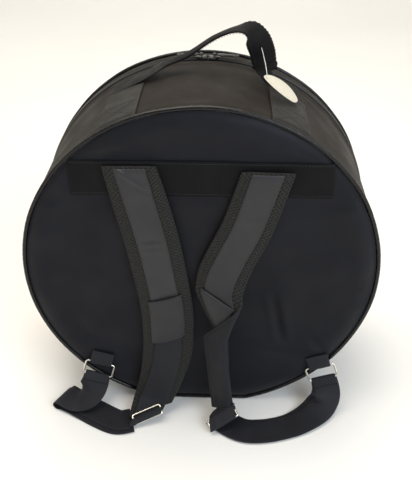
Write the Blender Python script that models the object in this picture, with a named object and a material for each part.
# Round padded carrying case with a zipped lid, a webbing handle and two backpack straps.
# It stands on its edge: X runs to the right, Y from the strap side to the lid, Z up.
# The origin is the middle of the flat where the round side rests on the floor.
# All lengths are in metres.

import math

import bmesh
import bpy
from mathutils import Matrix, Vector

# Size of the case
BAG_RADIUS = 0.200          # to the outside of the piping
BAG_DEPTH = 0.175           # from the back panel to the front panel
FLOOR_SAG = 0.008           # how far the round flattens under its own weight
GAP = 0.0003                # running gap between neighbouring pieces
STATION_COUNT = 72          # steps round the outline

# Wall, from the outside in
FABRIC = 0.0010
FOAM = 0.0080
LINING = 0.0008

# Piping at both rims
PIPING_RADIUS = 0.0025
PIPING_PROUD = 0.0015       # how far it stands out of the gusset
PIPING_SIDES = 8

# Zip between the case and the lid
ZIP_INSET = 0.0305          # middle of the zip, in from the front panel
ZIP_OPENING = 0.014         # between the two fabric edges
ZIP_END_STATION = 29        # steps from the top to where the zip ends
TAPE = 0.0010
TAPE_WIDTH = 0.0125
TEETH_WIDTH = 0.0032
TEETH_HEIGHT = 0.0024
TEETH_SPACE = 0.0014        # between the two rows, where the slider's post runs
STOP_LENGTH = 0.003

# Zip sliders and their pullers
SLIDER_LENGTH = 0.014
SLIDER_POST = 0.0008
SLIDER_PLATE = 0.0012
SLIDER_LIP = 0.0008
SLIDER_CLEARANCE = 0.0005
SLIDER_MEET = 0.0035        # the two sliders meet this far right of the top
BAIL_SPAN = 0.0064
BAIL_WIRE = 0.0014          # square wire
BAIL_CLEARANCE = 0.0003     # between the wire's corners and the puller's rolled end
PULLER_LENGTH = 0.028
PULLER_WIDTH = 0.0072
PULLER_THICKNESS = 0.0016
PULLER_ROLL = 0.0007        # wall of the rolled end that turns on the bail
PULLER_EYE = 0.0024         # radius of the hole at the free end
PULLER_CLEARANCE = 0.0004
PULLER_END_STEPS = 8        # round end of the puller
ROUND_SIDES = 12            # sides of its eye and its rolled end

# Webbing of the straps
WEB_WIDTH = 0.032
WEB = 0.0014
BAND_HEIGHT = 0.040         # band that is sewn across the back panel
BAND_TOP_SHARE = 0.70       # its top edge above the middle, as a share of the radius
BAND_LEFT_SHARE = -0.68
BAND_RIGHT_SHARE = 0.69

# Padded shoulder straps
PAD_WIDTH = 0.060
PAD_SKIN = 0.0008
PAD_FOAM = 0.0040
FACE = 0.0010
PATCH_LENGTH = 0.058
PATCH_WIDTH = 0.040
PATCH = 0.0012
LAYER_GAP = 0.0007          # between the pad and the strips on its face

# Route of each strap down the panel and out onto the floor: sideways place, height above
# the floor and lift off the panel, as shares of the radius, then the share of the full
# width and the way the strap's right edge is turned, as a heading in degrees.
LEFT_STRAP_SHARES = (
    (-0.365, 1.640, 0.000, 0.92, 0.0),
    (-0.315, 1.425, 0.000, 0.98, 0.0),
    (-0.260, 1.175, 0.000, 1.00, 0.0),
    (-0.200, 0.800, 0.004, 1.00, 0.0),
    (-0.188, 0.610, 0.010, 1.00, 0.0),
    (-0.195, 0.420, 0.022, 0.98, 0.0),
    (-0.232, 0.240, 0.040, 0.86, -4.0),
    (-0.272, 0.120, 0.068, 0.80, -6.0),
    (-0.292, 0.078, 0.100, 0.76, -8.0),
    (-0.303, 0.058, 0.135, 0.74, -10.0),
)
RIGHT_STRAP_SHARES = (
    (0.350, 1.615, 0.000, 0.90, 0.0),
    (0.255, 1.295, 0.000, 0.93, 0.0),
    (0.168, 1.090, 0.000, 0.93, 0.0),
    (0.112, 0.940, 0.020, 0.93, -8.0),
    (0.096, 0.790, 0.060, 0.88, -20.0),
    (0.099, 0.610, 0.088, 0.82, -30.0),
    (0.112, 0.380, 0.096, 0.76, -34.0),
    (0.128, 0.190, 0.106, 0.72, -30.0),
    (0.136, 0.108, 0.134, 0.70, -24.0),
    (0.141, 0.082, 0.172, 0.70, -20.0),
)
LEFT_PATCH_START_SHARE = 0.505      # where the patch starts along the pad
RIGHT_PATCH_START_SHARE = 0.505

# Metal slides on the webbing
WIRE = 0.0025
GLIDE_LENGTH = 0.014
GLIDE_BAR = 0.0026
GLIDE_CLEARANCE = 0.0005
GLIDE_START = 0.0012        # from the end of the pad to the slide
GLIDE_TRAVEL = 0.010

# Metal rings at the rim and the tabs that hold them
RING_WIDTH = 0.035          # between the middles of the side wires
RING_HEIGHT = 0.0195
RING_SIDES = 8
RING_CORNER = 0.003
RING_CORNER_STEPS = 2
TAB_LENGTH = 0.014
TAB = 0.0012
TAB_TURN_STEPS = 4
LEFT_RING_SHARES = (-0.610, 0.295)      # middle of the ring's top wire, X and Z
RIGHT_RING_SHARES = (0.720, 0.305)
LEFT_RING_TILT = 16.5       # degrees, right end down
RIGHT_RING_TILT = -19.0

# Route of the loose webbing from the slide to the ring: X, distance in front of the
# panel and height, as shares of the radius, then the heading of its width in degrees.
LOOSE_WEB = 0.0028          # two layers
FALL_SHARE = 0.35           # straight fall from the ring, as a share of the webbing's width
LOOSE_WIDTH = 0.038         # the two layers lie a little apart sideways
LEFT_LOOSE_SHARES = (
    (-0.684, 0.084, 0.107, -20.0),
    (-0.733, 0.089, 0.065, -61.0),
    (-0.790, 0.071, 0.041, -102.0),
    (-0.850, 0.037, 0.043, -119.0),
    (-0.862, 0.030, 0.023, -120.0),
    (-0.845, 0.040, 0.009, -120.0),
    (-0.792, 0.070, 0.021, -121.0),
    (-0.677, 0.134, 0.010, -120.0),
    (-0.580, 0.190, 0.009, -118.0),
)
LEFT_LOOSE_END_SHARES = (-0.490, 0.228, 0.010, -112.0)
RIGHT_LOOSE_SHARES = (
    (0.765, 0.091, 0.116, 9.0),
    (0.736, 0.107, 0.061, -14.0),
    (0.672, 0.150, 0.028, -34.0),
    (0.590, 0.198, 0.013, -52.0),
    (0.490, 0.242, 0.009, -68.0),
    (0.385, 0.268, 0.009, -82.0),
)
RIGHT_LOOSE_END_SHARES = (0.275, 0.270, 0.010, -96.0)

# Carrying handle
HANDLE_WIDTH = 0.045
HANDLE_WEB = 0.0016
GRIP_WIDTH = 0.024
GRIP = 0.0040
LEG_RUN = 0.0925            # from the back rim to where the webbing lifts off
LEFT_LEG_ANGLE = -25.5      # degrees from the top
RIGHT_LEG_ANGLE = 27.5
LEG_STEPS = 5

# Handle route between the two legs: X and height above the crown of the gusset, and
# distance in front of the axis that it swings on, as shares of the radius.
SWING_Y_SHARE = 0.090       # swing axis behind the middle plane
SWING_DROP_SHARE = 0.078    # swing axis below the crown
GRIP_SHARES = (
    (-0.180, 0.068, -0.005, 90.0),
    (-0.075, 0.118, -0.004, 90.0),
    (0.050, 0.190, 0.010, 86.0),
    (0.160, 0.240, 0.020, 70.0),
    (0.240, 0.236, 0.015, 46.0),
    (0.290, 0.170, 0.005, 22.0),
    (0.318, 0.100, -0.012, 14.0),
    (0.330, 0.046, -0.024, 22.0),
)

# Free webbing from each leg up to the grip: X and height above the gusset, as shares of
# the radius, the heading of its width and its width as a share of the handle's.
LEFT_RISE_SHARES = (
    (-0.500, 0.0, 90.0, 0.70),
    (-0.410, 0.0, 90.0, 0.70),
    (-0.330, 0.020, 90.0, 0.68),
    (-0.250, 0.056, 90.0, 0.60),
)
RIGHT_RISE_SHARES = (
    (0.525, 0.0, 90.0, 0.70),
    (0.450, 0.0, 90.0, 0.70),
    (0.390, 0.014, 82.0, 0.66),
    (0.348, 0.048, 52.0, 0.58),
)
RISE_CLEARANCE = 0.0009     # from the end of the grip

# Card tag on a plastic pin
TAG_LENGTH = 0.050
TAG_WIDTH = 0.026
TAG = 0.0006
TAG_STEPS = 24
TAG_TAPER_SHARE = 0.22      # how much wider the lower end is than the upper
PIN_RADIUS = 0.0004
PIN_SIDES = 6
TAG_HOLE_INSET = 0.004
TAG_TOP_SHARES = (0.322, -0.120, 2.002)     # place of the tag's upper end
TAG_AXIS = (0.754, 0.278, -0.595)           # way that its length runs
TAG_FACE = (0.619, 0.0, 0.785)              # way that it faces
PIN_STATION_SHARE = 0.86                    # where the pin goes through the grip

# Smoothness of the routes
ROUTE_STEPS = 4
HANDLE_ROUTE_STEPS = 3
SHARP_ANGLE = math.radians(35)

# What follows from these sizes
CENTRE_Z = BAG_RADIUS - FLOOR_SAG
BACK_Y = -BAG_DEPTH / 2
FRONT_Y = BAG_DEPTH / 2
GUSSET_RADIUS = BAG_RADIUS - PIPING_PROUD
PIPING_WIDTH = 2 * PIPING_RADIUS
FOAM_OUT = FABRIC + GAP
FOAM_IN = FOAM_OUT + FOAM
LINING_OUT = FOAM_IN + GAP
LINING_IN = LINING_OUT + LINING
ZIP_Y = FRONT_Y - ZIP_INSET
ROLL_IN = BAIL_WIRE / math.sqrt(2) + BAIL_CLEARANCE
ROLL_OUT = ROLL_IN + PULLER_ROLL
BAIL_HEIGHT = ROLL_OUT + PULLER_CLEARANCE   # middle of the bail's bar, over the slider
TRIM = GAP / GUSSET_RADIUS * STATION_COUNT / math.tau   # the running gap in steps
PAD = PAD_FOAM + 2 * (PAD_SKIN + GAP)
BAND_FRONT = GAP + WEB                  # front face of the band, off the panel
PAD_MIDDLE = BAND_FRONT + GAP + PAD / 2
SWING_Y = SWING_Y_SHARE * BAG_RADIUS
CROWN_Z = CENTRE_Z + GUSSET_RADIUS
SWING_Z = CROWN_Z - SWING_DROP_SHARE * BAG_RADIUS


def clear_scene():
    for old in list(bpy.data.objects):
        bpy.data.objects.remove(old, do_unlink=True)


def material(name, colour, roughness, metallic=0.0):
    made = bpy.data.materials.new(name)
    made.use_nodes = True
    shader = made.node_tree.nodes["Principled BSDF"]
    shader.inputs["Base Color"].default_value = (*colour, 1.0)
    shader.inputs["Roughness"].default_value = roughness
    shader.inputs["Metallic"].default_value = metallic
    return made


def make_materials():
    return {
        "nylon": material("black nylon", (0.022, 0.022, 0.025), 0.62),
        "foam": material("grey foam", (0.20, 0.20, 0.21), 0.90),
        "lining": material("black lining", (0.035, 0.035, 0.040), 0.70),
        "piping": material("glossy black piping", (0.008, 0.008, 0.009), 0.22),
        "tape": material("zip tape", (0.016, 0.016, 0.018), 0.75),
        "teeth": material("zip coil", (0.020, 0.020, 0.022), 0.35),
        "slider": material("dark zip metal", (0.060, 0.060, 0.065), 0.28, 0.9),
        "web": material("black webbing", (0.018, 0.018, 0.020), 0.72),
        "mesh": material("spacer mesh", (0.026, 0.026, 0.026), 0.80),
        "face": material("smooth strap fabric", (0.050, 0.050, 0.056), 0.48),
        "nickel": material("nickel wire", (0.72, 0.70, 0.64), 0.20, 1.0),
        "card": material("white card", (0.86, 0.85, 0.80), 0.55),
        "plastic": material("clear plastic pin", (0.80, 0.80, 0.78), 0.30),
    }


def finish(name, mesh_data, finish_material):
    """Makes the object, turns its faces outwards and shades its round sides smooth."""
    bmesh.ops.remove_doubles(mesh_data, verts=mesh_data.verts, dist=GAP / 100)
    bmesh.ops.recalc_face_normals(mesh_data, faces=mesh_data.faces)
    mesh = bpy.data.meshes.new(name)
    mesh_data.to_mesh(mesh)
    mesh_data.free()
    mesh.materials.append(finish_material)
    mesh.shade_smooth()
    mesh.set_sharp_from_angle(angle=SHARP_ANGLE)
    made = bpy.data.objects.new(name, mesh)
    bpy.context.collection.objects.link(made)
    return made


def put_origin(made, place):
    """Moves an object's origin to a joint and leaves its shape where it is."""
    made.data.transform(Matrix.Translation(-Vector(place)))
    made.location = place


def strip(work, row, after, step):
    """Two triangles between two rings, split alike on facing sides of a ribbon."""
    count = len(row)
    turn = (step + 1) % count
    if step < count / 2:
        work.faces.new((row[step], row[turn], after[turn]))
        work.faces.new((row[step], after[turn], after[step]))
    else:
        work.faces.new((row[step], row[turn], after[step]))
        work.faces.new((row[turn], after[turn], after[step]))


def loft(name, rings, finish_material, loop=False):
    """Closed body through rings of points, each ring a closed outline."""
    work = bmesh.new()
    rows = [[work.verts.new(point) for point in ring] for ring in rings]
    count = len(rows[0])
    pairs = list(zip(rows, rows[1:]))
    if loop:
        pairs.append((rows[-1], rows[0]))
    for row, after in pairs:
        for step in range(count):
            strip(work, row, after, step)
    if not loop:
        work.faces.new(list(reversed(rows[0])))
        work.faces.new(rows[-1])
    return finish(name, work, finish_material)


def sleeve(name, outer_rings, inner_rings, finish_material):
    """Tube between an outer and an inner surface, open at both ends."""
    work = bmesh.new()
    outer = [[work.verts.new(point) for point in ring] for ring in outer_rings]
    inner = [[work.verts.new(point) for point in ring] for ring in inner_rings]
    count = len(outer[0])
    for step in range(count):
        turn = (step + 1) % count
        for rows in (outer, inner):
            for row, after in zip(rows, rows[1:]):
                strip(work, row, after, step)
        for out_row, in_row in ((outer[0], inner[0]), (outer[-1], inner[-1])):
            work.faces.new((out_row[step], out_row[turn], in_row[turn], in_row[step]))
    return finish(name, work, finish_material)


# Outline of the case

def outline(station, radius, floor):
    """X and Z on the round at a step from the top, flattened at a floor height."""
    angle = math.tau * station / STATION_COUNT
    reach = radius
    drop = -math.cos(angle)
    if drop > 0:
        reach = min(radius, (CENTRE_Z - floor) / drop)
    return reach * math.sin(angle), CENTRE_Z + reach * math.cos(angle)


def steps_between(first, last):
    """First and last step, with every whole step between them."""
    inside = [step for step in range(math.ceil(first), math.floor(last) + 1) if first < step < last]
    return [first, *inside, last]


def ring_piece(name, corners, finish_material, first=None, last=None):
    """Sweeps corners, each (y, radius, floor), round the outline or along an arc of it."""
    whole = first is None
    stations = list(range(STATION_COUNT)) if whole else steps_between(first, last)
    rings = []
    for station in stations:
        ring = []
        for y, radius, floor in corners:
            x, z = outline(station, radius, floor)
            ring.append((x, y, z))
        rings.append(ring)
    return loft(name, rings, finish_material, loop=whole)


def layer(near_y, far_y, outer_depth, inner_depth):
    """Corners of a wall layer, at depths below the outside of the gusset."""
    return [
        (near_y, GUSSET_RADIUS - outer_depth, outer_depth),
        (far_y, GUSSET_RADIUS - outer_depth, outer_depth),
        (far_y, GUSSET_RADIUS - inner_depth, inner_depth),
        (near_y, GUSSET_RADIUS - inner_depth, inner_depth),
    ]


def disc(name, radius, floor, near_y, far_y, finish_material):
    """Flat panel with the outline of the case."""
    rings = []
    for y in (near_y, far_y):
        ring = []
        for station in range(STATION_COUNT):
            x, z = outline(station, radius, floor)
            ring.append((x, y, z))
        rings.append(ring)
    return loft(name, rings, finish_material)


def panel(prefix, face_y, inward, stuff):
    """Fabric, foam and lining of one round panel."""
    rim = PIPING_WIDTH + GAP
    fabric_radius = BAG_RADIUS - rim
    disc(prefix + "_fabric", fabric_radius, rim, face_y, face_y + inward * FABRIC, stuff["nylon"])
    disc(prefix + "_foam", fabric_radius, rim,
         face_y + inward * FOAM_OUT, face_y + inward * FOAM_IN, stuff["foam"])
    disc(prefix + "_lining", GUSSET_RADIUS - LINING_OUT, LINING_OUT,
         face_y + inward * LINING_OUT, face_y + inward * LINING_IN, stuff["lining"])


def piping(name, face_y, inward, stuff):
    """Round cord at a rim, pressed flat where the case stands."""
    corners = []
    for side in range(PIPING_SIDES):
        angle = math.tau * (side + 0.5) / PIPING_SIDES
        rise = PIPING_RADIUS * math.sin(angle)
        y = face_y + inward * (PIPING_RADIUS + PIPING_RADIUS * math.cos(angle))
        corners.append((y, BAG_RADIUS - PIPING_RADIUS + rise, PIPING_RADIUS - rise))
    ring_piece(name, corners, stuff["piping"])


def walls(stuff):
    """The gusset in its three parts: case side, lid side and the hinge part underneath."""
    near = BACK_Y + PIPING_WIDTH + GAP
    far = FRONT_Y - PIPING_WIDTH - GAP
    foam_near = BACK_Y + FOAM_IN + GAP
    foam_far = FRONT_Y - FOAM_IN - GAP
    lining_near = BACK_Y + LINING_IN + GAP
    lining_far = FRONT_Y - LINING_IN - GAP
    seam = TEETH_SPACE / 2 + TAPE_WIDTH + GAP     # foam stops where the zip tape starts
    end = ZIP_END_STATION
    parts = (
        ("main_gusset", -end, end, near, ZIP_Y - ZIP_OPENING / 2,
         foam_near, ZIP_Y - seam, lining_near, ZIP_Y - seam),
        ("lid_gusset", -end, end, ZIP_Y + ZIP_OPENING / 2, far,
         ZIP_Y + seam, foam_far, ZIP_Y + seam, lining_far),
        ("bottom_gusset", end + TRIM, STATION_COUNT - end - TRIM, near, far,
         foam_near, foam_far, lining_near, lining_far),
    )
    for prefix, first, last, near_y, far_y, foam_a, foam_b, lining_a, lining_b in parts:
        ring_piece(prefix + "_fabric", layer(near_y, far_y, 0, FABRIC), stuff["nylon"], first, last)
        ring_piece(prefix + "_foam", layer(foam_a, foam_b, FOAM_OUT, FOAM_IN), stuff["foam"], first, last)
        ring_piece(prefix + "_lining", layer(lining_a, lining_b, LINING_OUT, LINING_IN),
                   stuff["lining"], first, last)


# Zip

def zip_halves(stuff):
    """Tape and coil on each side of the zip, and the stops at its two ends."""
    end = ZIP_END_STATION
    stop_steps = STOP_LENGTH / GUSSET_RADIUS * STATION_COUNT / math.tau
    teeth_end = end - stop_steps - TRIM
    for side, word in ((-1, "case"), (1, "lid")):
        inner = ZIP_Y + side * TEETH_SPACE / 2
        tape_edge = inner + side * TAPE_WIDTH
        teeth_edge = inner + side * TEETH_WIDTH
        near, far = sorted((inner, tape_edge))
        ring_piece("zip_tape_" + word, layer(near, far, FOAM_OUT, FOAM_OUT + TAPE), stuff["tape"], -end, end)
        near, far = sorted((inner, teeth_edge))
        ring_piece("zip_teeth_" + word, layer(near, far, FABRIC - TEETH_HEIGHT, FABRIC),
                   stuff["teeth"], -teeth_end, teeth_end)
    reach = TEETH_SPACE / 2 + TEETH_WIDTH
    corners = layer(ZIP_Y - reach, ZIP_Y + reach, FABRIC - TEETH_HEIGHT, FABRIC)
    ring_piece("zip_stop_right", corners, stuff["slider"], end - stop_steps, end)
    ring_piece("zip_stop_left", corners, stuff["slider"], -end, stop_steps - end)


def arc_point(angle, radius, y):
    return Vector((radius * math.sin(angle), y, CENTRE_Z + radius * math.cos(angle)))


def slider_corners():
    """Cross-section of a slider: Y from the zip's middle and radius, once round."""
    post = SLIDER_POST / 2
    teeth_side = TEETH_SPACE / 2 + TEETH_WIDTH
    lip_in = teeth_side + SLIDER_CLEARANCE
    edge = lip_in + SLIDER_LIP
    tape_top = GUSSET_RADIUS - FOAM_OUT
    top_low = GUSSET_RADIUS - FABRIC + TEETH_HEIGHT + SLIDER_CLEARANCE
    top_high = top_low + SLIDER_PLATE
    lip_low = tape_top + SLIDER_CLEARANCE
    bottom_high = tape_top - TAPE - SLIDER_CLEARANCE
    bottom_low = bottom_high - SLIDER_PLATE
    right = [
        (post, bottom_high), (edge, bottom_high), (edge, bottom_low),
    ]
    upper = [
        (edge, top_high), (edge, lip_low), (lip_in, lip_low), (lip_in, top_low), (post, top_low),
    ]
    half = upper + right
    return half + [(-y, radius) for y, radius in reversed(half)], top_high


def slider_parts(side, word, stuff):
    """One slider with its bail, and the puller that turns in it."""
    corners, top = slider_corners()
    half_angle = SLIDER_LENGTH / 2 / GUSSET_RADIUS
    meet = SLIDER_MEET / GUSSET_RADIUS
    middle = meet + side * (half_angle + GAP / GUSSET_RADIUS)
    rings = []
    for share in (-1, 0, 1):
        angle = middle + share * half_angle
        rings.append([arc_point(angle, radius, ZIP_Y + y) for y, radius in corners])
    body = loft("zip_slider_" + word, rings, stuff["slider"])

    # The bail is a low bridge over the slider, and the puller turns on its bar.
    bail = bail_mesh(middle, top)
    combine(body, bail, "UNION")

    pivot = arc_point(middle, top + BAIL_HEIGHT, ZIP_Y)
    puller(side, word, middle, pivot, stuff)
    put_origin(body, (0, ZIP_Y, CENTRE_Z))
    return pivot


def bail_mesh(middle, top):
    """Bridge of wire along Y over the slider, standing on its top plate."""
    foot = GAP                              # the bridge is sunk in the plate and joined to it
    half_span = BAIL_SPAN / 2
    high = BAIL_HEIGHT + BAIL_WIRE / 2
    low = BAIL_HEIGHT - BAIL_WIRE / 2
    outline_points = [
        (-half_span, -foot), (-half_span, high), (half_span, high), (half_span, -foot),
        (half_span - BAIL_WIRE, -foot), (half_span - BAIL_WIRE, low),
        (BAIL_WIRE - half_span, low), (BAIL_WIRE - half_span, -foot),
    ]
    along = Vector((math.cos(middle), 0, -math.sin(middle)))
    rings = []
    for share in (-1, 1):
        ring = []
        for y, rise in outline_points:
            point = arc_point(middle, top + rise, ZIP_Y + y)
            ring.append(point + along * share * BAIL_WIRE / 2)
        rings.append(ring)
    return loft("bail", rings, bpy.data.materials["dark zip metal"])


def combine(body, other, operation):
    """Joins another solid to a body, or cuts it out, and removes the other."""
    step = body.modifiers.new("combine", "BOOLEAN")
    step.operation = operation
    step.object = other
    bpy.context.view_layer.update()
    made = bpy.data.meshes.new_from_object(body.evaluated_get(bpy.context.evaluated_depsgraph_get()))
    body.modifiers.remove(step)
    body.data = made
    bpy.data.objects.remove(other, do_unlink=True)


def puller(side, word, middle, pivot, stuff):
    """Flat bar with a rolled end that turns on the bail and an eye at its free end."""
    along = Vector((math.cos(middle), 0, -math.sin(middle))) * side
    out = Vector((math.sin(middle), 0, math.cos(middle)))
    across = Vector((0, 1, 0))
    neck = BAIL_SPAN / 2 - BAIL_WIRE - PULLER_CLEARANCE
    half = PULLER_WIDTH / 2
    shoulder = ROLL_OUT + PULLER_CLEARANCE
    end = PULLER_LENGTH - half
    left = [(0, -neck), (shoulder, -neck), (shoulder + PULLER_THICKNESS, -half)]
    tip = []
    for step in range(PULLER_END_STEPS + 1):
        angle = -math.pi / 2 + math.pi * step / PULLER_END_STEPS
        tip.append((end + half * math.cos(angle), half * math.sin(angle)))
    points = left + tip + [(run, -width) for run, width in reversed(left)]
    turns = [math.tau * step / ROUND_SIDES for step in range(ROUND_SIDES)]
    eye = [(end + PULLER_EYE * math.cos(turn), PULLER_EYE * math.sin(turn)) for turn in turns]

    def place(run, width, rise):
        return pivot + along * run + across * width + out * rise

    def plate(name, outline_points, thickness):
        rings = [[place(run, width, sign * thickness / 2) for run, width in outline_points]
                 for sign in (-1, 1)]
        return loft(name, rings, stuff["slider"])

    def barrel(name, radius, half_length):
        rounds = [(radius * math.cos(turn), radius * math.sin(turn)) for turn in turns]
        rings = [[place(run, sign * half_length, rise) for run, rise in rounds] for sign in (-1, 1)]
        return loft(name, rings, stuff["slider"])

    body = plate("zip_puller_" + word, points, PULLER_THICKNESS)
    combine(body, barrel("roll", ROLL_OUT, neck), "UNION")
    combine(body, barrel("roll cutter", ROLL_IN, 2 * neck), "DIFFERENCE")
    combine(body, plate("eye cutter", eye, 2 * PULLER_THICKNESS), "DIFFERENCE")
    put_origin(body, pivot)


# Routes and ribbons

def blend_values(first, second, share):
    return first + (second - first) * share


def spline(before, start, end, after, share):
    """Point on a Catmull-Rom curve between start and end."""
    square = share * share
    cube = square * share
    return (start * 2 + (end - before) * share + (before * 2 - start * 5 + end * 4 - after) * square
            + (start * 3 - before - end * 3 + after) * cube) / 2


def frames_along(points, sides, widths, steps=ROUTE_STEPS):
    """Smooth frames of a ribbon: place, way across, way it faces, and width."""
    places = []
    ways = []
    spans = []
    last = len(points) - 1
    for index in range(last):
        before = points[index - 1] if index else points[0] * 2 - points[1]
        after = points[index + 2] if index + 2 <= last else points[last] * 2 - points[last - 1]
        for step in range(steps):
            share = step / steps
            places.append(spline(before, points[index], points[index + 1], after, share))
            ways.append(blend_values(sides[index], sides[index + 1], share))
            spans.append(blend_values(widths[index], widths[index + 1], share))
    places.append(points[-1])
    ways.append(sides[-1])
    spans.append(widths[-1])
    frames = []
    for index, place in enumerate(places):
        ahead = places[min(index + 1, len(places) - 1)]
        behind = places[max(index - 1, 0)]
        run = (ahead - behind).normalized()
        across = (ways[index] - run * ways[index].dot(run)).normalized()
        frames.append((place, across, run.cross(across), spans[index]))
    return frames


def ribbon_rings(frames, thickness, offset=0.0, inset=0.0, width=None):
    """Rectangular cross-sections along a ribbon, shifted to its face by an offset."""
    rings = []
    for place, across, face, full in frames:
        half = (width if width else full) / 2 - inset
        middle = place + face * offset
        low = face * (-thickness / 2)
        high = face * (thickness / 2)
        side = across * half
        rings.append([middle - side + low, middle + side + low, middle + side + high, middle - side + high])
    return rings


def lengths_along(frames):
    total = [0.0]
    for first, second in zip(frames, frames[1:]):
        total.append(total[-1] + (second[0] - first[0]).length)
    return total


def frame_at(frames, lengths, distance):
    """Frame at a distance along a route, between its two nearest frames."""
    for index in range(len(frames) - 1):
        if distance <= lengths[index + 1] or index == len(frames) - 2:
            span = lengths[index + 1] - lengths[index]
            share = (distance - lengths[index]) / span
            first, second = frames[index], frames[index + 1]
            place = blend_values(first[0], second[0], share)
            across = blend_values(first[1], second[1], share).normalized()
            face = blend_values(first[2], second[2], share).normalized()
            return place, across, face, blend_values(first[3], second[3], share)
    return frames[-1]


def cut_frames(frames, start, end):
    """The stretch of a route between two distances."""
    lengths = lengths_along(frames)
    inside = [frame for frame, length in zip(frames, lengths) if start < length < end]
    return [frame_at(frames, lengths, start), *inside, frame_at(frames, lengths, end)]


def heading(degrees):
    """Level direction, turned from +X."""
    angle = math.radians(degrees)
    return Vector((math.cos(angle), math.sin(angle), 0))


# Shoulder straps

def strap_route(shares):
    points = []
    sides = []
    widths = []
    for x, z, lift, width, turn in shares:
        points.append(Vector((x * BAG_RADIUS, BACK_Y - PAD_MIDDLE - lift * BAG_RADIUS, z * BAG_RADIUS)))
        sides.append(heading(turn))
        widths.append(width * PAD_WIDTH)
    return frames_along(points, sides, widths)


def strap(word, shares, patch_share, stuff):
    """One shoulder strap: padded mesh sleeve, face strip, patch, webbing and slide."""
    frames = strap_route(shares)
    length = lengths_along(frames)[-1]
    skin = PAD_SKIN
    upper_edge = max(point.z for point in ribbon_rings(frames, PAD)[0])
    seam_place = Vector((frames[0][0].x, BACK_Y - BAND_FRONT - GAP, upper_edge))
    sleeve("strap_mesh_" + word, ribbon_rings(frames, PAD), ribbon_rings(frames, PAD - 2 * skin, inset=skin),
           stuff["mesh"])
    loft("strap_foam_" + word,
         ribbon_rings(frames, PAD_FOAM, inset=skin + GAP), stuff["foam"])
    patch_start = patch_share * length
    patch_end = patch_start + PATCH_LENGTH
    face_offset = PAD / 2 + LAYER_GAP
    face_frames = cut_frames(frames, 0, patch_start - GAP)
    loft("strap_face_" + word, ribbon_rings(face_frames, FACE, face_offset + FACE / 2, width=WEB_WIDTH),
         stuff["face"])
    patch_frames = cut_frames(frames, patch_start, patch_end)
    patch_rings = ribbon_rings(patch_frames, PATCH, face_offset + PATCH / 2, width=PATCH_WIDTH)
    loft("strap_patch_" + word, patch_rings, stuff["face"])
    web_frames = cut_frames(frames, patch_end + GAP, length)
    web_offset = face_offset + WEB / 2
    place, across, face, full = frames[-1]
    run = across.cross(face)
    tail_length = GLIDE_START + GLIDE_LENGTH + GLIDE_TRAVEL + WEB
    tail = (place + run * tail_length, across, face, full)
    web_rings = ribbon_rings([*web_frames, tail], WEB, web_offset, width=WEB_WIDTH)
    loft("upper_web_" + word, web_rings, stuff["web"])
    middle = place + face * web_offset + run * (GLIDE_START + GLIDE_LENGTH / 2)
    glide = tri_glide("tri_glide_" + word, middle, across, run, face, stuff)
    put_origin(glide, middle)
    for piece in ("strap_mesh_", "strap_foam_", "strap_face_", "strap_patch_", "upper_web_"):
        put_origin(bpy.data.objects[piece + word], seam_place)
    return middle, across, run, face, seam_place


def tri_glide(name, middle, across, run, face, stuff):
    """Slide of two outer bars in front of the webbing and a middle bar behind it."""
    inner = WEB_WIDTH / 2 + GLIDE_CLEARANCE
    widths = [-inner - WIRE, -inner, inner, inner + WIRE]
    half = GLIDE_LENGTH / 2
    runs = [-half, GLIDE_BAR - half, -GLIDE_BAR / 2, GLIDE_BAR / 2, half - GLIDE_BAR, half]
    web = WEB / 2 + GLIDE_CLEARANCE
    heights = [-web - GLIDE_BAR / 2, -web, web, web + GLIDE_BAR / 2]
    last_run = len(runs) - 2
    last_height = len(heights) - 2
    filled = {(1, 0, last_height), (1, last_run, last_height), (1, last_run // 2, 0)}
    for run_cell in range(last_run + 1):
        for height_cell in range(last_height + 1):
            filled.add((0, run_cell, height_cell))
            filled.add((2, run_cell, height_cell))
    work = bmesh.new()
    corners = {}

    def corner(index):
        if index not in corners:
            i, j, k = index
            corners[index] = work.verts.new(middle + across * widths[i] + run * runs[j] + face * heights[k])
        return corners[index]

    for cell in sorted(filled):
        for axis in range(3):
            for step in (0, 1):
                neighbour = list(cell)
                neighbour[axis] += 2 * step - 1
                if tuple(neighbour) in filled:
                    continue
                base = list(cell)
                base[axis] += step
                one, two = [other for other in range(3) if other != axis]
                square = []
                for first, second in ((0, 0), (1, 0), (1, 1), (0, 1)):
                    index = list(base)
                    index[one] += first
                    index[two] += second
                    square.append(corner(tuple(index)))
                work.faces.new(square)
    return finish(name, work, stuff["nickel"])


def tube_rings(points, radius, sides, closed=False):
    """Round cross-sections along a path."""
    rings = []
    count = len(points)
    up = None
    for index, point in enumerate(points):
        ahead = points[(index + 1) % count] if closed else points[min(index + 1, count - 1)]
        behind = points[index - 1] if closed or index else points[0]
        run = (ahead - behind).normalized()
        if up is None:
            up = run.orthogonal()
        up = (up - run * up.dot(run)).normalized()
        side = run.cross(up)
        ring = []
        for step in range(sides):
            angle = math.tau * (step + 0.5) / sides
            ring.append(point + (up * math.cos(angle) + side * math.sin(angle)) * radius)
        rings.append(ring)
    return rings


def ring_frame(shares, tilt):
    """Middle of a ring's top wire, the way it runs and the way that the ring hangs."""
    angle = math.radians(tilt)
    across = Vector((math.cos(angle), 0, -math.sin(angle)))
    down = Vector((-math.sin(angle), 0, -math.cos(angle)))
    tab_half = WIRE / 2 + GAP + TAB
    y = BACK_Y - GAP - tab_half
    return Vector((shares[0] * BAG_RADIUS, y, shares[1] * BAG_RADIUS)), across, down


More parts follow.
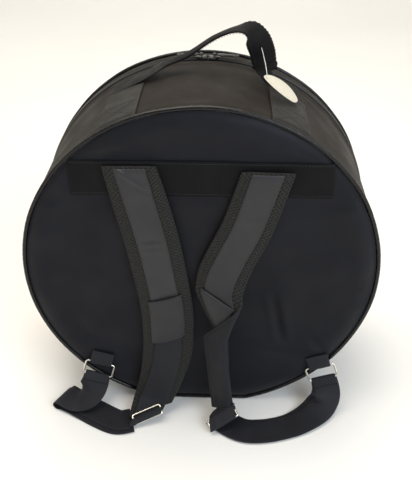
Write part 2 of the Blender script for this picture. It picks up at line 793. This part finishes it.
def anchor_ring(word, shares, tilt, stuff):
    """Rectangular wire ring, with rounded corners, that hangs in its tab."""
    top, across, down = ring_frame(shares, tilt)
    half = RING_WIDTH / 2
    path = []
    for sign_x, sign_z in ((1, 0), (1, 1), (-1, 1), (-1, 0)):
        corner = top + across * sign_x * (half - RING_CORNER)
        corner += down * (RING_CORNER if sign_z == 0 else RING_HEIGHT - RING_CORNER)
        start = {(1, 0): -1, (1, 1): 0, (-1, 1): 1, (-1, 0): 2}[(sign_x, sign_z)]
        for step in range(RING_CORNER_STEPS + 1):
            angle = (start + step / RING_CORNER_STEPS) * math.pi / 2
            path.append(corner + (across * math.cos(angle) + down * math.sin(angle)) * RING_CORNER)
    made = loft("anchor_ring_" + word, tube_rings(path, WIRE / 2, RING_SIDES, closed=True),
                stuff["nickel"], loop=True)
    put_origin(made, top)
    return top, across, down


def anchor_tab(word, shares, tilt, stuff):
    """Loop of webbing sewn at the rim, round the ring's top wire."""
    top, across, down = ring_frame(shares, tilt)
    out = Vector((0, -1, 0))
    turn = WIRE / 2 + GAP + TAB / 2
    width = RING_WIDTH - WIRE - 2 * RING_CORNER
    path = []
    for centre, start in ((top, 0), (top - down * TAB_LENGTH, 1)):
        for step in range(TAB_TURN_STEPS + 1):
            angle = (start + step / TAB_TURN_STEPS) * math.pi
            path.append(centre + (out * math.cos(angle) + down * math.sin(angle)) * turn)
    rings = []
    count = len(path)
    for index, point in enumerate(path):
        run = (path[(index + 1) % count] - path[index - 1]).normalized()
        face = across.cross(run)
        side = across * width / 2
        low = face * TAB / 2
        rings.append([point - side - low, point + side - low, point + side + low, point - side + low])
    loft("anchor_tab_" + word, rings, stuff["web"], loop=True)


def loose_web(word, ring_place, route, end, stuff):
    """Loose webbing on the floor between the slide and the ring, two layers thick."""
    top, across, down = ring_place
    start = top + down * (RING_HEIGHT + WIRE / 2 + GAP + LOOSE_WEB / 2)
    fall = (down + Vector((0, -1, 0))).normalized()
    points = [start, start + fall * WEB_WIDTH * FALL_SHARE]
    sides = [across, across]
    for x, out, z, turn in [*route, end]:
        points.append(Vector((x * BAG_RADIUS, BACK_Y - out * BAG_RADIUS, z * BAG_RADIUS)))
        sides.append(heading(turn))
    frames = frames_along(points, sides, [LOOSE_WIDTH] * len(points))
    loft("loose_web_" + word, ribbon_rings(frames, LOOSE_WEB), stuff["web"])


def band(stuff):
    """Webbing sewn across the back panel, under the upper ends of the straps."""
    top = CENTRE_Z + BAND_TOP_SHARE * BAG_RADIUS
    rings = []
    for x in (BAND_LEFT_SHARE * BAG_RADIUS, BAND_RIGHT_SHARE * BAG_RADIUS):
        near = BACK_Y - GAP
        far = BACK_Y - BAND_FRONT
        rings.append([Vector((x, near, top)), Vector((x, near, top - BAND_HEIGHT)),
                      Vector((x, far, top - BAND_HEIGHT)), Vector((x, far, top))])
    loft("strap_band", rings, stuff["web"])


# Handle

def above_gusset(x, lift, width):
    """Middle of the webbing that folds away from a leg's end, over the gusset."""
    radius = GUSSET_RADIUS + 2 * GAP + HANDLE_WEB / 2
    z = CENTRE_Z + math.sqrt(radius * radius - x * x) + lift
    return Vector((x, BACK_Y + LEG_RUN + GAP + width / 2, z))


def handle_leg(word, angle_degrees, stuff):
    """Flat end of the handle, sewn on the gusset from the back rim."""
    half = HANDLE_WIDTH / 2 / GUSSET_RADIUS
    middle = math.radians(angle_degrees)
    near = BACK_Y + PIPING_WIDTH + GAP
    far = BACK_Y + LEG_RUN
    low = GUSSET_RADIUS + GAP
    high = low + HANDLE_WEB
    rings = []
    for step in range(LEG_STEPS + 1):
        angle = middle + half * (2 * step / LEG_STEPS - 1)
        rings.append([arc_point(angle, low, near), arc_point(angle, low, far),
                      arc_point(angle, high, far), arc_point(angle, high, near)])
    loft("handle_leg_" + word, rings, stuff["web"])


def handle_point(x, rise, front):
    return Vector((x * BAG_RADIUS, SWING_Y - front * BAG_RADIUS, CROWN_Z + rise * BAG_RADIUS))


def grip_frames():
    points = [handle_point(x, rise, front) for x, rise, front, turn in GRIP_SHARES]
    sides = [heading(turn) for x, rise, front, turn in GRIP_SHARES]
    return frames_along(points, sides, [GRIP_WIDTH] * len(points), HANDLE_ROUTE_STEPS)


def handle(stuff):
    """Handle of folded webbing: grip, and the free stretch down to each leg."""
    frames = grip_frames()
    grip = loft("handle_grip", ribbon_rings(frames, GRIP), stuff["web"])
    put_origin(grip, (0, SWING_Y, SWING_Z))
    for word, shares, end_frame, side in (("left", LEFT_RISE_SHARES, frames[0], -1),
                                          ("right", RIGHT_RISE_SHARES, frames[-1], 1)):
        points = []
        sides = []
        widths = []
        for x, lift, turn, share in shares:
            width = share * HANDLE_WIDTH
            points.append(above_gusset(x * BAG_RADIUS, lift * BAG_RADIUS, width))
            sides.append(heading(turn))
            widths.append(width)
        place, grip_across, grip_face, grip_width = end_frame
        out = grip_across.cross(grip_face) * side
        for distance in (RISE_CLEARANCE + GRIP, RISE_CLEARANCE):
            points.append(place + out * distance)
            sides.append(grip_across)
            widths.append(grip_width)
        rise_frames = frames_along(points, sides, widths, HANDLE_ROUTE_STEPS)
        loft("handle_rise_" + word, ribbon_rings(rise_frames, HANDLE_WEB), stuff["web"])
    return frames


# Tag

def tag(frames, stuff):
    """Card tag with a pointed oval outline, and the plastic pin that holds it to the grip."""
    along = Vector(TAG_AXIS).normalized()
    face = Vector(TAG_FACE).normalized()
    face = (face - along * face.dot(along)).normalized()
    across = face.cross(along)
    top = Vector(TAG_TOP_SHARES) * BAG_RADIUS
    middle = top + along * TAG_LENGTH / 2
    rings = []
    for sign in (-1, 1):
        ring = []
        for step in range(TAG_STEPS):
            angle = math.tau * step / TAG_STEPS
            run = -math.cos(angle) * TAG_LENGTH / 2
            width = math.sin(angle) * TAG_WIDTH / 2 * (1 - TAG_TAPER_SHARE * math.cos(angle))
            ring.append(middle + along * run + across * width + face * sign * TAG / 2)
        rings.append(ring)
    card = loft("hang_tag", rings, stuff["card"])
    lengths = lengths_along(frames)
    place, grip_across, grip_face, width = frame_at(frames, lengths, PIN_STATION_SHARE * lengths[-1])
    front = grip_face if grip_face.y < 0 else -grip_face
    pin_start = place + front * (GRIP / 2 + PIN_RADIUS + GAP)
    pin_end = top + along * TAG_HOLE_INSET + face * (TAG / 2 + PIN_RADIUS + GAP)
    pin = loft("tag_pin", tube_rings([pin_start, pin_end], PIN_RADIUS, PIN_SIDES), stuff["plastic"])
    for made in (card, pin):
        put_origin(made, pin_start)
    return pin_start


def build():
    clear_scene()
    stuff = make_materials()
    panel("back_panel", BACK_Y, 1, stuff)
    panel("front_panel", FRONT_Y, -1, stuff)
    piping("back_piping", BACK_Y, 1, stuff)
    piping("front_piping", FRONT_Y, -1, stuff)
    walls(stuff)
    zip_halves(stuff)
    pivots = {word: slider_parts(side, word, stuff) for side, word in ((-1, "left"), (1, "right"))}
    band(stuff)
    strap_places = {
        "left": strap("left", LEFT_STRAP_SHARES, LEFT_PATCH_START_SHARE, stuff),
        "right": strap("right", RIGHT_STRAP_SHARES, RIGHT_PATCH_START_SHARE, stuff),
    }
    rings = (
        ("left", LEFT_RING_SHARES, LEFT_RING_TILT, LEFT_LOOSE_SHARES, LEFT_LOOSE_END_SHARES),
        ("right", RIGHT_RING_SHARES, RIGHT_RING_TILT, RIGHT_LOOSE_SHARES, RIGHT_LOOSE_END_SHARES),
    )
    ring_places = {}
    for word, shares, tilt, route, end in rings:
        ring_places[word] = anchor_ring(word, shares, tilt, stuff)
        anchor_tab(word, shares, tilt, stuff)
        loose_web(word, ring_places[word], route, end, stuff)
    handle_leg("left", LEFT_LEG_ANGLE, stuff)
    handle_leg("right", RIGHT_LEG_ANGLE, stuff)
    frames = handle(stuff)
    pin_place = tag(frames, stuff)
    # The front panel and its rim turn on the lower edge of the lid.
    for name in ("front_panel_fabric", "front_panel_foam", "front_panel_lining", "front_piping",
                 "lid_gusset_fabric", "lid_gusset_foam", "lid_gusset_lining",
                 "zip_tape_lid", "zip_teeth_lid"):
        put_origin(bpy.data.objects[name], (0, FRONT_Y, 0))
    report_places(pivots, strap_places, ring_places, pin_place)


def report_places(pivots, strap_places, ring_places, pin_place):
    """Prints the places and directions of the joints."""
    def text(vector):
        return "(" + ", ".join(f"{value:.5f}" for value in vector) + ")"

    for word, pivot in pivots.items():
        print("puller pivot", word, text(pivot))
    for word, (middle, across, run, face, seam) in strap_places.items():
        print("strap", word, "seam", text(seam), "slide", text(middle), "slides along", text(run))
    for word, (top, across, down) in ring_places.items():
        print("ring", word, "top wire", text(top), "axis", text(across))
    print("tag pin", text(pin_place), "handle axis", text((0, SWING_Y, SWING_Z)))


build()
